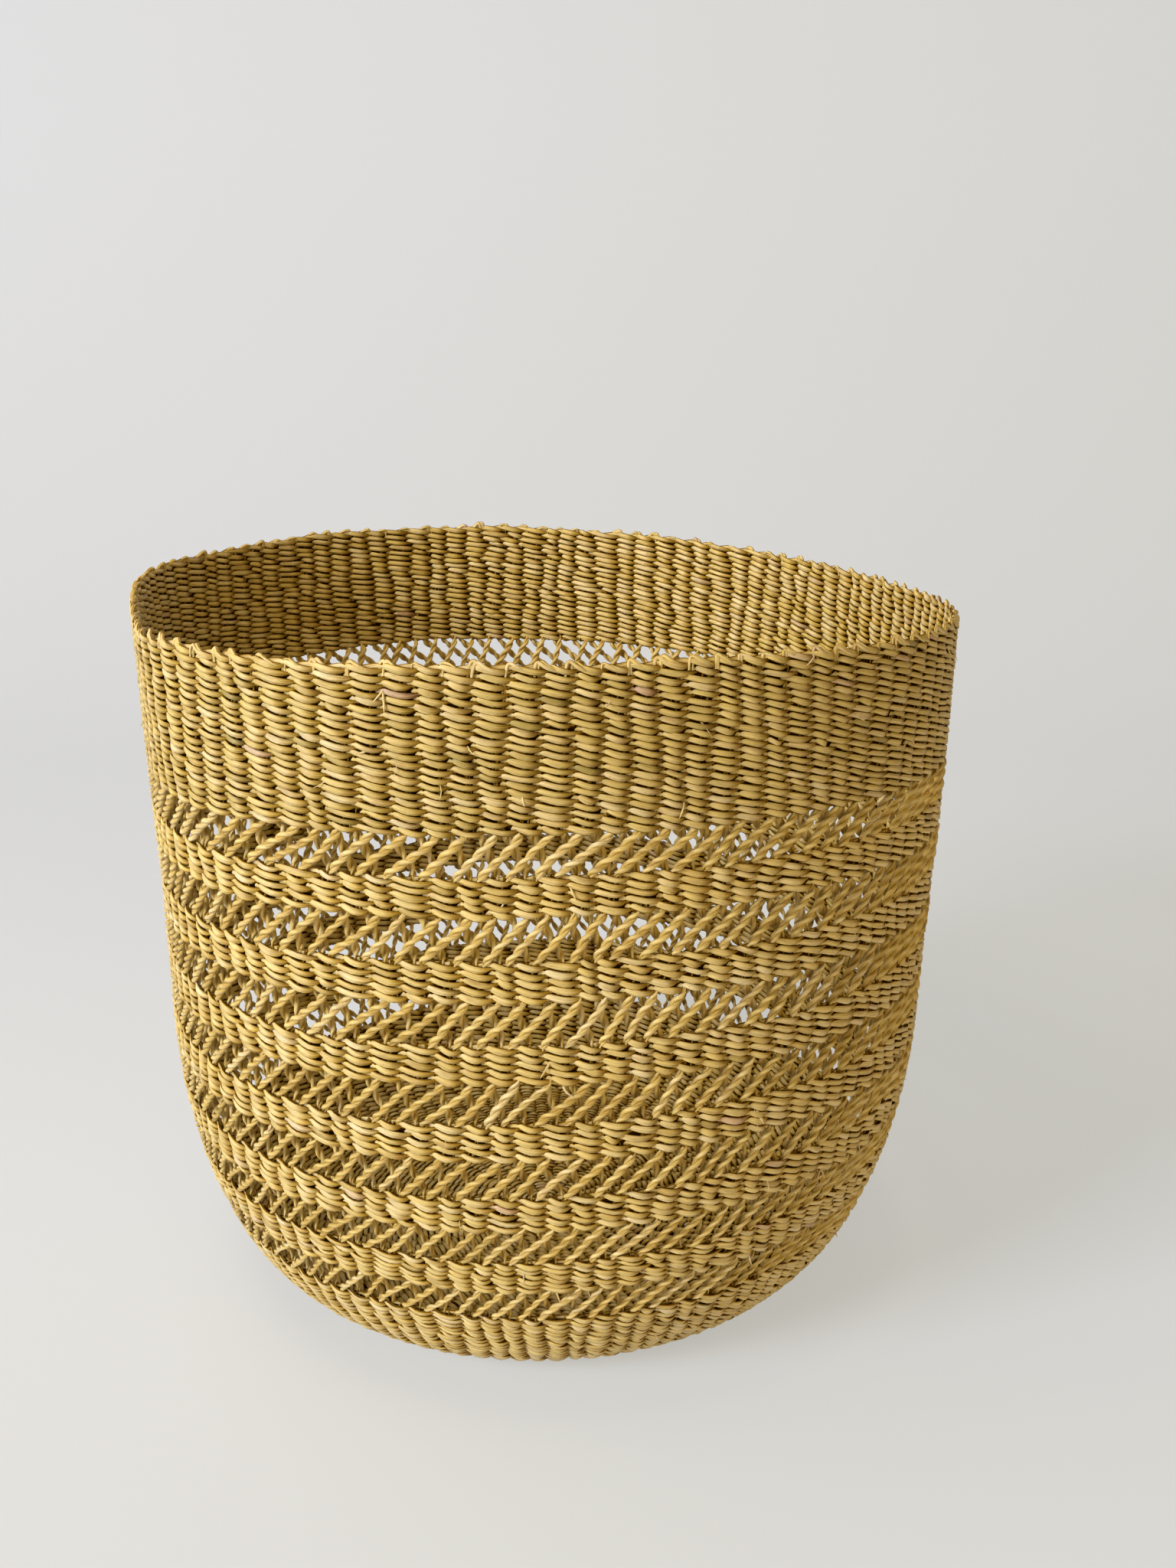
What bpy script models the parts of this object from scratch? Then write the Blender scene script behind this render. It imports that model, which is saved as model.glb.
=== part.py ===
"""A round, open-topped basket of twined elephant grass, with seven rings of openwork in its wall.

The wall is built on two sets of corded stakes. The outer set leans to the right as it climbs, and the
inner set leans a little to the left behind it. Rows of twined straw hold both sets together: a heel
band low down, six narrow bands up the wall and a deep band under the rim. Between the bands the stakes
stand bare, and the gaps among them are the openwork. A folded border closes the mouth, and a flat
twined disc is the floor.

Metres, +Z up. The origin is the middle of the face that the basket stands on.
"""

import math

import bmesh
import bpy

# Wall outline, measured on the outer face
MOUTH_RADIUS = 0.1900
BELLY_RADIUS = 0.1840
BELLY_HEIGHT = 0.1500
FLOOR_RADIUS = 0.1180

# Rings of the wall, as heights
HEEL_HEIGHT = 0.0470
OPEN_HEIGHT = 0.0175
BAND_HEIGHT = 0.0160
UPPER_BAND_HEIGHT = 0.0620
BORDER_HEIGHT = 0.0060
OPEN_RINGS = 7

# Stakes: each is a cord of two straws twisted together
STAKE_DIAMETER = 0.0035
STAKES_DRAWN = 52
OUTER_LEAN = math.radians(5.2)
INNER_LEAN = math.radians(-1.7)

# Dense rings: the wall draws in this far on each face between two stakes drawn, which leaves an upright
# rib over each. The furrows run out to nothing over this height where the wall turns into the floor.
FURROW_DEPTH = 0.0016
FURROW_RUN_OUT = 0.0070

# The folded border stands this far proud of the wall on each side
BORDER_PROUD = 0.0012

# Room between pieces that touch, and between the two sets of stakes where they cross
FIT = 0.0003
STAKE_ROOM = 0.0005

# Facets
TURN_STEPS = 48
HEEL_STEPS = 5
BORDER_STEPS = 8

# What follows from the sizes above
WALL = 2 * STAKE_DIAMETER + STAKE_ROOM
WALL_MIDDLE_FLOOR = WALL / 2
STAKE_OFFSET = (STAKE_DIAMETER + STAKE_ROOM) / 2
BELLY_MIDDLE = BELLY_RADIUS - WALL / 2
MOUTH_MIDDLE = MOUTH_RADIUS - WALL / 2
BANDS = OPEN_RINGS - 1
UPPER_BAND_BOTTOM = HEEL_HEIGHT + OPEN_RINGS * OPEN_HEIGHT + BANDS * BAND_HEIGHT
BORDER_BOTTOM = UPPER_BAND_BOTTOM + UPPER_BAND_HEIGHT
HEIGHT = BORDER_BOTTOM + BORDER_HEIGHT

# Straw colours as sRGB
TWINED_STRAW = "C9A955"
HEEL_STRAW = "CDB264"
STAKE_STRAW = "BC9A48"
INNER_STAKE_STRAW = "9C7C34"
BORDER_STRAW = "D6BA6C"
FLOOR_STRAW = "C2A252"
STRAW_ROUGHNESS = 0.55


def linear(hex_colour):
    """The linear colour of an sRGB hex value."""
    channels = [int(hex_colour[i:i + 2], 16) / 255 for i in (0, 2, 4)]
    bent = [c / 12.92 if c <= 0.04045 else ((c + 0.055) / 1.055) ** 2.4 for c in channels]
    return (*bent, 1.0)


def straw(name, hex_colour):
    """Dry golden grass: not metallic, with a soft satin face."""
    material = bpy.data.materials.new(name)
    material.use_nodes = True
    shader = material.node_tree.nodes["Principled BSDF"]
    shader.inputs["Base Color"].default_value = linear(hex_colour)
    shader.inputs["Roughness"].default_value = STRAW_ROUGHNESS
    shader.inputs["Metallic"].default_value = 0.0
    return material


def new_collection(name):
    collection = bpy.data.collections.new(name)
    bpy.context.scene.collection.children.link(collection)
    return collection


def wall_at(height, offset):
    """Radius and height of the wall's middle at a height, moved out from it by offset along its normal.

    Below the belly the middle of the wall is a quarter ellipse that leaves the floor level, and above
    the belly it is straight up to the mouth.
    """
    if height < BELLY_HEIGHT:
        across = BELLY_MIDDLE - FLOOR_RADIUS
        rise = BELLY_HEIGHT - WALL_MIDDLE_FLOOR
        turn = math.acos(min(1.0, (BELLY_HEIGHT - height) / rise))
        radius = FLOOR_RADIUS + across * math.sin(turn)
        normal = (rise * math.sin(turn), -across * math.cos(turn))
    else:
        flare = (MOUTH_MIDDLE - BELLY_MIDDLE) / (HEIGHT - BELLY_HEIGHT)
        radius = BELLY_MIDDLE + flare * (height - BELLY_HEIGHT)
        normal = (1.0, -flare)
    length = math.hypot(*normal)
    return radius + offset * normal[0] / length, height + offset * normal[1] / length


def turned(name, outline, closed, material, collection):
    """A piece turned about the Z axis from an outline that runs down its outer side."""
    count = len(outline)
    edges = [(i, i + 1) for i in range(count - 1)]
    if closed:
        edges.append((count - 1, 0))
    mesh = bpy.data.meshes.new(name)
    mesh.from_pydata([(radius, 0.0, height) for radius, height in outline], edges, [])
    mesh.materials.append(material)
    piece = bpy.data.objects.new(name, mesh)
    collection.objects.link(piece)
    screw = piece.modifiers.new("Turn", "SCREW")
    screw.axis = "Z"
    screw.steps = TURN_STEPS
    screw.render_steps = TURN_STEPS
    screw.use_merge_vertices = True
    screw.merge_threshold = 0.00001
    screw.use_smooth_shade = True
    return piece


def furrow_at(height):
    """How far each face of a dense ring draws in between two stakes drawn, at a height."""
    return FURROW_DEPTH * max(0.0, min(1.0, (height - WALL_MIDDLE_FLOOR) / FURROW_RUN_OUT))


def wall_ring(name, bottom, top, steps, material, collection):
    """A ring of dense twining between two heights, as thick as the wall over each stake drawn.

    It is a loft round the axis through one outline on each rib and one in each furrow, by turns.
    """
    low = bottom + FIT / 2
    high = top - FIT / 2
    heights = [high + (low - high) * i / steps for i in range(steps + 1)]
    on_rib = [wall_at(height, WALL / 2) for height in heights]
    on_rib += [wall_at(height, -WALL / 2) for height in reversed(heights)]
    in_furrow = [wall_at(height, WALL / 2 - furrow_at(height)) for height in heights]
    in_furrow += [wall_at(height, furrow_at(height) - WALL / 2) for height in reversed(heights)]
    form = bmesh.new()
    sections = []
    for stake in range(STAKES_DRAWN):
        for outline, share in ((on_rib, 0.0), (in_furrow, 0.5)):
            angle = 2 * math.pi * (stake + share) / STAKES_DRAWN
            sections.append([form.verts.new((radius * math.cos(angle), radius * math.sin(angle), height))
                             for radius, height in outline])
    for section, following in zip(sections, sections[1:] + sections[:1]):
        for i in range(len(section)):
            j = (i + 1) % len(section)
            form.faces.new((section[i], section[j], following[j], following[i]))
    bmesh.ops.recalc_face_normals(form, faces=form.faces)
    mesh = bpy.data.meshes.new(name)
    form.to_mesh(mesh)
    form.free()
    mesh.materials.append(material)
    piece = bpy.data.objects.new(name, mesh)
    collection.objects.link(piece)
    return piece


def stake_ring(name, bottom, top, lean, offset, material, collection):
    """The bare stakes of one open ring: one long cord that climbs, turns over and comes down again.

    Every stake leans by the same angle about the axis. The turns lie along the edges of the bands
    above and below.
    """
    low = bottom + FIT + STAKE_DIAMETER / 2
    high = top - FIT - STAKE_DIAMETER / 2
    low_radius, low_height = wall_at(low, offset)
    high_radius, high_height = wall_at(high, offset)
    spacing = 2 * math.pi / STAKES_DRAWN
    points = []
    for stake in range(STAKES_DRAWN):
        foot = (stake * spacing, low_radius, low_height)
        head = (stake * spacing + lean, high_radius, high_height)
        points += [foot, head] if stake % 2 == 0 else [head, foot]
    curve = bpy.data.curves.new(name, "CURVE")
    curve.dimensions = "3D"
    curve.bevel_depth = STAKE_DIAMETER / 2
    curve.bevel_resolution = 0
    spline = curve.splines.new("POLY")
    spline.points.add(len(points) - 1)
    for place, (angle, radius, height) in zip(spline.points, points):
        place.co = (radius * math.cos(angle), radius * math.sin(angle), height, 1.0)
    spline.use_cyclic_u = True
    curve.materials.append(material)
    piece = bpy.data.objects.new(name, curve)
    collection.objects.link(piece)
    return piece


def floor_disc(material, collection):
    """The flat twined floor, which meets the heel edge to edge."""
    edge = FLOOR_RADIUS - FIT
    outline = [(0.0, WALL), (edge, WALL), (edge, 0.0), (0.0, 0.0)]
    return turned("floor_disc", outline, False, material, collection)


def rim_border(material, collection):
    """The border of stakes folded over the mouth, a little thicker than the wall."""
    half_width = WALL / 2 + BORDER_PROUD
    half_height = (BORDER_HEIGHT - FIT) / 2
    radius, height = wall_at(HEIGHT - half_height, 0.0)
    outline = []
    for step in range(BORDER_STEPS):
        turn = math.pi / 2 - 2 * math.pi * (step + 0.5) / BORDER_STEPS
        reach = 1 / math.cos(math.pi / BORDER_STEPS)
        outline.append((radius + half_width * reach * math.cos(turn),
                        height + half_height * reach * math.sin(turn)))
    return turned("rim_border", outline, True, material, collection)


def build():
    for old in list(bpy.data.objects):
        bpy.data.objects.remove(old, do_unlink=True)
    collection = new_collection("woven_basket")

    floor_disc(straw("floor_straw", FLOOR_STRAW), collection)
    wall_ring("heel_band", WALL_MIDDLE_FLOOR - FIT / 2, HEEL_HEIGHT, HEEL_STEPS,
              straw("heel_straw", HEEL_STRAW), collection)

    bottom = HEEL_HEIGHT
    for ring in range(1, OPEN_RINGS + 1):
        top = bottom + OPEN_HEIGHT
        stake_ring(f"outer_stakes_{ring}", bottom, top, OUTER_LEAN, STAKE_OFFSET,
                   straw(f"outer_stake_straw_{ring}", STAKE_STRAW), collection)
        stake_ring(f"inner_stakes_{ring}", bottom, top, INNER_LEAN, -STAKE_OFFSET,
                   straw(f"inner_stake_straw_{ring}", INNER_STAKE_STRAW), collection)
        bottom = top
        if ring < OPEN_RINGS:
            top = bottom + BAND_HEIGHT
            wall_ring(f"twined_band_{ring}", bottom, top, 1,
                      straw(f"twined_straw_{ring}", TWINED_STRAW), collection)
            bottom = top

    wall_ring("upper_band", UPPER_BAND_BOTTOM, BORDER_BOTTOM, 1,
              straw("upper_straw", TWINED_STRAW), collection)
    rim_border(straw("border_straw", BORDER_STRAW), collection)


build()
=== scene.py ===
"""The looks of a round, open-topped basket of twined elephant grass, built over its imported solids.

Each row of twining is two straws that pass round the stakes in turn, so a straw is outside one pair of
stakes and inside the next. The stakes are cords of two plies. They stand bare in seven rings of openwork,
where the outer set leans to the right as it climbs and the inner set leans a little to the left. A plan
that is a little out of round, uneven passes, splices and stray fibres make it the work of a hand.

Metres, +Z up. The origin is the middle of the face that the basket stands on.
"""

import math

import bpy
import numpy as np
from mathutils import Matrix, Vector


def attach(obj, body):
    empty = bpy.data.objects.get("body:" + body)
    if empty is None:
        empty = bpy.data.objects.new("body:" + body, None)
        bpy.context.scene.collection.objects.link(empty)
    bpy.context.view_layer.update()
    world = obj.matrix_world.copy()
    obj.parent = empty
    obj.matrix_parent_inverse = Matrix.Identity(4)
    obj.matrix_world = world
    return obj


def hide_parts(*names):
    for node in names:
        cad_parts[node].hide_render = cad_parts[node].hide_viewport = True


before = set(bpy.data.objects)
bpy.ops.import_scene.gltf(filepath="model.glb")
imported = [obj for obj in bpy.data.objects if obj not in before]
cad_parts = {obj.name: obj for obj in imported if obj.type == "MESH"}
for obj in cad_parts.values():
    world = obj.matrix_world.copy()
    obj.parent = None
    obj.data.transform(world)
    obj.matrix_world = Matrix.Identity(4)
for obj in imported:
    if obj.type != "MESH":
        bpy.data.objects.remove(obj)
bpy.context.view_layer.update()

# Camera: where the photographer stood, worked out from the bands and the outline of the basket, and how far
# the camera sees
PICTURE_WIDTH = 1536
FOCAL_LENGTH_PIXELS = 2065
SENSOR_WIDTH_MM = 36.0
CAMERA_DISTANCE = 0.7377
CAMERA_HEIGHT = 0.4549
CAMERA_DOWN = math.radians(16.68)
CAMERA_RIGHT = math.radians(1.70)
CAMERA_SEES = 20

# Wall outline, as in the solids
MOUTH_RADIUS = 0.1900
BELLY_RADIUS = 0.1840
BELLY_HEIGHT = 0.1500
FLOOR_RADIUS = 0.1180
HEEL_HEIGHT = 0.0470
OPEN_HEIGHT = 0.0175
BAND_HEIGHT = 0.0160
UPPER_BAND_HEIGHT = 0.0620
BORDER_HEIGHT = 0.0060
OPEN_RINGS = 7
WALL = 0.0075
UPPER_BAND_BOTTOM = HEEL_HEIGHT + OPEN_RINGS * OPEN_HEIGHT + (OPEN_RINGS - 1) * BAND_HEIGHT
BORDER_BOTTOM = UPPER_BAND_BOTTOM + UPPER_BAND_HEIGHT
HEIGHT = BORDER_BOTTOM + BORDER_HEIGHT
BELLY_MIDDLE = BELLY_RADIUS - WALL / 2
MOUTH_MIDDLE = MOUTH_RADIUS - WALL / 2

# The rim is a little out of round and not quite level: waves round the basket, which fade out downwards.
# Each is how many times it goes round, and how far it moves the wall as a cosine and as a sine.
OUT_OF_ROUND = ((1, -0.0020, -0.0008), (2, 0.0007, 0.0013), (3, 0.0029, -0.0010), (4, -0.0035, -0.0035),
                (5, -0.0002, 0.0008), (6, 0.0000, -0.0015))
OUT_OF_LEVEL = ((1, -0.0037, -0.0003), (2, -0.0031, -0.0017), (3, 0.0010, -0.0005), (4, -0.0003, -0.0002),
                (5, 0.0007, 0.0000))

# At the left the rim is pulled to a soft corner, as if it had been carried there: angle, its width, how far
# out and up it goes, and how soon that fades down the wall
PINCH_ANGLE = 3.079
PINCH_WIDTH = 0.30
PINCH_OUT = 0.0047
PINCH_UP = 0.0043
PINCH_FADE = 8

# The rings as woven are not quite evenly spaced: heights up the wall, and how far above even spacing each is
RING_HEIGHTS = (0.000, 0.047, 0.070, 0.106, 0.140, 0.173, 0.206, 0.240, 0.265, 0.3335)
RING_SHIFTS = (0.0000, 0.0012, 0.0007, -0.0008, -0.0011, -0.0010, 0.0005, 0.0020, 0.0011, 0.0000)

# Small unevenness of hand work. Each wave is how many times it goes round, its length up the wall, and its
# size: in metres for rows and dents, and in columns for stakes.
ROW_WAVES = ((5, 0.31, 0.00035), (11, 0.17, 0.00030), (23, 0.09, 0.00018))
DENT_WAVES = ((6, 0.23, 0.00045), (13, 0.14, 0.00035))
STAKE_WAVES = ((7, 0.19, 0.10), (17, 0.12, 0.07), (31, 0.07, 0.05))
STAKE_SHIFT = 0.05
HAND_SEED = 7

# Columns: one for each pair of stakes
COLUMNS = 104

# Twining: how far a straw swings out over the stakes, how much less it swings inside, and where it crosses
ROW_PITCH = 0.0030
PASS_OUT = 0.0017
PASS_LEAD = 0.04
INSIDE_SWING = 0.65
CROSSING_OUT = 0.0010
CROSSING_SHIFT = 0.10
PASS_TILT = math.radians(8)
STRAW_HALF_THICKNESS = 0.00064
STRAW_SIDES = 8
STRAW_FLATNESS = 0.5

# How unevenly the passes lie: shares of the swing, the pitch and the width, the roll, and the most that any
# of these may be, in standard deviations
UNEVEN_OUT = 0.07
UNEVEN_HEIGHT = 0.05
UNEVEN_WIDTH = 0.12
UNEVEN_ROLL = math.radians(6)
UNEVEN_LIMIT = 1.8

# How much shade is painted on a straw where it lies tucked in, from 0 for the open to 1 for deep between
# others: along a pass, at its low end and inside the basket
PASS_PAINTED_SHADE = 0.22
END_PAINTED_SHADE = 0.28
INSIDE_PAINTED_SHADE = 0.10

# Tints, from 0 to 1 along a material's colours: how far straws and passes differ, how often one is quite
# unlike its neighbours, how much paler the inside is painted, as painted light that lifts the inside which
# the lamps light too little, and up to which tint, and the share of an inside pass after which the straw has
# the tint of its next pass
SPLICE_SPREAD = 0.5
PASS_SPREAD = 0.12
ODD_PASSES = 0.05
INSIDE_PAINTED_LIGHT = 0.25
INSIDE_PALEST = 0.90
EMERGES_AFTER = 0.9

# How many passes a straw lasts until the next is spliced in
SPLICE_LEAST = 9
SPLICE_MOST = 22

# The outline of a pass as it shows, from its high end to its low end: shares of the way along it, heights
# over the middle of the row and half widths, both as shares of the pitch of the rows
PASS_SHARES = (0.0, 0.05, 0.12, 0.30, 0.50, 0.70, 0.85, 0.95, 1.0)
PASS_HEIGHTS = (0.290, 0.320, 0.310, 0.120, -0.095, -0.245, -0.280, -0.220, -0.180)
PASS_HALF_WIDTHS = (0.20, 0.34, 0.42, 0.455, 0.462, 0.45, 0.38, 0.27, 0.17)
PASS_SAMPLES = np.array(PASS_SHARES[:-1])

# Dark strips of painted shade between the rows, flat in the wall's middle, which close the gaps between them
GAP_SHADE_HALF_WIDTH = 0.0017
GAP_SHADE_HALF_THICKNESS = 0.0003
GAP_SHADE_SIDES = 4
GAP_SHADE_TINT = 0.12

# Stakes: two plies twisted together. The two sets stand apart where they are bare, and are pressed together
# and thin where the twining grips them. The lean of the outer set, in columns, and the size of both differ
# from one open ring to the next, and are given from the floor up.
PLY_RADIUS = 0.00095
PLY_FROM_MIDDLE = 0.00088
PLY_WIDE = 1.08
PLY_THICK = 0.95
PLY_SIDES = 6
# Painted shade at the edges of each ply, where it lies against the other
PLY_EDGE_PAINTED_SHADE = 0.5
TWIST_PITCH = 0.0125
OUTER_LEAN_COLUMNS = (1.56, 1.56, 1.56, 1.56, 1.56, 1.60, 1.75)
INNER_LEAN_COLUMNS = -0.63
STAKE_OUT_OPEN = 0.0019
STAKE_OUT_BAND = 0.00020
STAKE_SIZE_BAND = 0.36
CORD_SIZES = (0.82, 0.86, 0.92, 0.96, 1.0, 1.0, 1.0)

# How stakes differ: their place and their lean in columns, their size, and their tints
CORD_SHIFT = 0.07
CORD_LEAN = 0.15
CORD_UNEVEN = 0.07
CORD_TINTS = (0.2, 0.75)
PLY_SPREAD = 0.08


def linear(hex_colour):
    """The linear colour of an sRGB hex value."""
    channels = [int(hex_colour[i:i + 2], 16) / 255 for i in (0, 2, 4)]
    bent = [c / 12.92 if c <= 0.04045 else ((c + 0.055) / 1.055) ** 2.4 for c in channels]
    return (*bent, 1.0)


# The wall's middle line. It is a quarter ellipse from the floor's edge to the belly, and straight above it.

PROFILE_STEPS = 400
PAST_RIM = 0.020


def profile():
    """The wall's middle line from the floor's centre to just past the rim, as run, radius and height."""
    turn = np.linspace(0, math.pi / 2, PROFILE_STEPS)
    flare = (MOUTH_MIDDLE - BELLY_MIDDLE) / (HEIGHT - BELLY_HEIGHT)
    heights = np.linspace(BELLY_HEIGHT, HEIGHT + PAST_RIM, PROFILE_STEPS)
    radius = np.concatenate([
        np.linspace(0, FLOOR_RADIUS, PROFILE_STEPS)[:-1],
        FLOOR_RADIUS + (BELLY_MIDDLE - FLOOR_RADIUS) * np.sin(turn),
        BELLY_MIDDLE + flare * (heights[1:] - BELLY_HEIGHT)])
    height = np.concatenate([
        np.full(PROFILE_STEPS - 1, WALL / 2),
        BELLY_HEIGHT - (BELLY_HEIGHT - WALL / 2) * np.cos(turn),
        heights[1:]])
    run = np.concatenate([[0.0], np.cumsum(np.hypot(np.diff(radius), np.diff(height)))])
    return run, radius, height


RUN, RADIUS, RISE = profile()
TOWARDS_RIM = np.gradient(np.stack([RADIUS, RISE]), RUN, axis=1)

# The run from the floor's centre to its edge, and how far the floor is raised so that no straw goes below 0
FLOOR_EDGE = FLOOR_RADIUS
FLOOR_RAISED = 0.0002


def run_at(height):
    """The run along the wall at which its middle has a height."""
    wall = RUN >= FLOOR_EDGE
    return float(np.interp(height, RISE[wall], RUN[wall]))


def ring_bounds():
    """The runs at which the heel, each open ring, each band and the border start and end."""
    bounds = {"floor": (0.0, FLOOR_EDGE), "heel": (FLOOR_EDGE, run_at(HEEL_HEIGHT))}
    bottom = HEEL_HEIGHT
    for ring in range(1, OPEN_RINGS + 1):
        bounds[f"open_{ring}"] = (run_at(bottom), run_at(bottom + OPEN_HEIGHT))
        bottom += OPEN_HEIGHT
        if ring < OPEN_RINGS:
            bounds[f"band_{ring}"] = (run_at(bottom), run_at(bottom + BAND_HEIGHT))
            bottom += BAND_HEIGHT
    bounds["upper"] = (run_at(UPPER_BAND_BOTTOM), run_at(BORDER_BOTTOM))
    bounds["border"] = (run_at(BORDER_BOTTOM), run_at(HEIGHT))
    return bounds


BOUNDS = ring_bounds()
hand = np.random.default_rng(HAND_SEED)
STAKE_JITTER = hand.normal(0, STAKE_SHIFT, COLUMNS)
WAVE_STARTS = hand.uniform(0, 2 * math.pi, (3, 3))


def round_waves(waves, angle):
    """The sum of waves round the basket at an angle."""
    return sum(c * np.cos(n * angle) + s * np.sin(n * angle) for n, c, s in waves)


def hand_waves(waves, starts, turns, run):
    """The sum of slow waves that wander round the basket and up its wall."""
    return sum(size * np.sin(2 * math.pi * (n * turns + run / length) + start)
               for (n, length, size), start in zip(waves, starts))


def place(turns, run, out):
    """Points of the basket, and the direction out of its wall at each.

    turns counts round the basket, run is the way along the wall's middle from the floor's centre, and out
    is how far a point stands outside that middle.
    """
    turns, run, out = np.broadcast_arrays(turns, run, out)
    firm = np.clip(run / FLOOR_EDGE, 0, 1)
    out = out - FLOOR_RAISED * (run < FLOOR_EDGE)
    shift = np.interp(turns * COLUMNS, np.arange(COLUMNS), STAKE_JITTER, period=COLUMNS)
    shift = shift + hand_waves(STAKE_WAVES, WAVE_STARTS[0], turns, run)
    angle = 2 * math.pi * (turns + firm * shift / COLUMNS)
    run = run + firm * hand_waves(ROW_WAVES, WAVE_STARTS[1], turns, run)
    run = run + np.interp(np.interp(run, RUN, RISE), RING_HEIGHTS, RING_SHIFTS)
    lift = np.interp(run, RUN, RISE) / HEIGHT
    out = out + lift * hand_waves(DENT_WAVES, WAVE_STARTS[2], turns, run)
    across = np.interp(run, RUN, TOWARDS_RIM[0])
    up = np.interp(run, RUN, TOWARDS_RIM[1])
    from_pinch = (angle - PINCH_ANGLE + math.pi) % (2 * math.pi) - math.pi
    pinch = lift ** PINCH_FADE * np.exp(-(from_pinch / PINCH_WIDTH) ** 2)
    radius = np.interp(run, RUN, RADIUS) + up * out
    radius = radius + lift * round_waves(OUT_OF_ROUND, angle) + PINCH_OUT * pinch
    height = np.interp(run, RUN, RISE) - across * out
    height = height + lift * round_waves(OUT_OF_LEVEL, angle) + PINCH_UP * pinch
    points = np.stack([radius * np.cos(angle), radius * np.sin(angle), height], -1)
    ways = np.stack([up * np.cos(angle), up * np.sin(angle), -across], -1)
    return points, ways


def unit(vectors):
    """The same directions, one metre long."""
    return vectors / np.linalg.norm(vectors, axis=-1, keepdims=True)


def along(points, closed):
    """The direction of each line of points, at each point."""
    if closed:
        return unit(np.roll(points, -1, axis=-2) - np.roll(points, 1, axis=-2))
    return unit(np.gradient(points, axis=-2))


def lengths_along(points):
    """The length of each line of points up to each point."""
    steps = np.linalg.norm(np.diff(points, axis=-2), axis=-1)
    start = np.zeros((*steps.shape[:-1], 1))
    return np.concatenate([start, np.cumsum(steps, axis=-1)], -1)


# Meshes: every straw and ply is a tube with an oval section, or one nearer to a flat strap

# How closely the painted shade on a section keeps to its two edges, where a straw meets its neighbours
EDGE_SHARPNESS = 6


def tubes(points, ways, half_width, half_thickness, tint, closed, sides, roll=0.0, painted_shade=0.0, flatness=1.0,
          edge_painted_shade=0.0):
    """A group of tubes with as many points each.

    The arrays have one row for each tube: middle lines, ways out, half sizes, tints and painted shade. The
    flat of a section faces along its way out, turned by roll. A section is an oval at flatness 1, and nearer
    to a strap with rounded edges below 1. edge_painted_shade is how much shade is painted on those edges,
    where a straw meets its neighbours.
    """
    forward = along(points, closed)
    wide = unit(np.cross(ways, forward))
    thick = np.cross(forward, wide)
    roll = np.asarray(roll)[..., None] if np.ndim(roll) else roll
    shape = points.shape[:2]
    return {
        "points": points,
        "length": lengths_along(points),
        "face": thick * np.cos(roll) + wide * np.sin(roll),
        "edge": wide * np.cos(roll) - thick * np.sin(roll),
        "half_width": np.broadcast_to(half_width, shape),
        "half_thickness": np.broadcast_to(half_thickness, shape),
        "tint": np.broadcast_to(tint, shape),
        "painted_shade": np.broadcast_to(painted_shade, shape),
        "closed": closed,
        "sides": sides,
        "flatness": flatness,
        "edge_painted_shade": edge_painted_shade}


# The bake map is cells in rows. A cell holds one tube, or one stretch of it, as a strip, with an open tube's
# two ends beside it. These are shares of the cell.
STRIP_START, STRIP_END = 0.01, 0.90
STRIP_LOW, STRIP_HIGH = 0.06, 0.94
CAP_MIDDLES = (0.930, 0.972)
CAP_REACH = (0.016, 0.30)


def strip_grid(group, map_width):
    """How a group lies on the bake map: stretches of a tube, columns and rows of cells, and their height."""
    length = float(group["length"][..., -1].mean())
    girth = 2 * math.pi * float(group["half_width"].mean())
    stretches = max(1, math.ceil(length / map_width)) if group["closed"] else 1
    columns = max(1, round(map_width / length))
    rows = math.ceil(len(group["points"]) * stretches / columns)
    return stretches, columns, rows, rows * girth


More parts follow.
